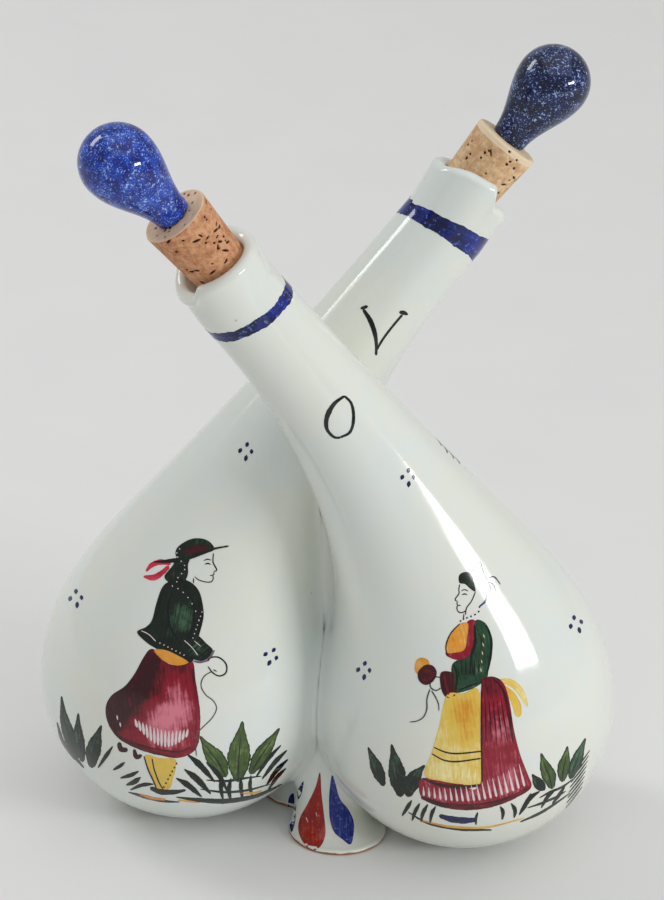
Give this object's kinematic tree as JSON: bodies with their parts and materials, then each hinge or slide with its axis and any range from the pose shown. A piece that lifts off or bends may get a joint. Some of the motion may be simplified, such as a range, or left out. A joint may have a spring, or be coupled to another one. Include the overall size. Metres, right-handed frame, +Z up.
{
  "type": "oil and vinegar cruet",
  "caption": "Double cruet: glazed earthenware oil and vinegar bottles joined with crossed necks, each with a pull-out cork under a round glazed knob.",
  "frame": {"origin": "middle of the base on the table plane, halfway between the two bellies", "axes": "+Z up; +X towards the oil belly and the vinegar mouth; -Y towards the oil bottle, which stands in front"},
  "size_m": [0.1404, 0.104, 0.2017],
  "materials": {
    "glazed_body": "cream-white glossy glaze with hand-painted folk decor",
    "cork": "natural cork with dark pores",
    "glazed_knob": "sponged cobalt-blue glossy glaze"
  },
  "bodies": {
    "body": {"cruet_body": "glazed_body"},
    "oil_stopper": {"oil_cork": "cork", "oil_knob": "glazed_knob"},
    "vinegar_stopper": {"vinegar_cork": "cork", "vinegar_knob": "glazed_knob"}
  },
  "joints": [
    {"name": "oil_stopper_pull", "type": "slide", "parent": "body", "child": "oil_stopper", "axis": [-0.6173, 0, 0.7867], "range_m": [0, 0.02]},
    {"name": "vinegar_stopper_pull", "type": "slide", "parent": "body", "child": "vinegar_stopper", "axis": [0.6173, 0, 0.7867], "range_m": [0, 0.02]}
  ]
}
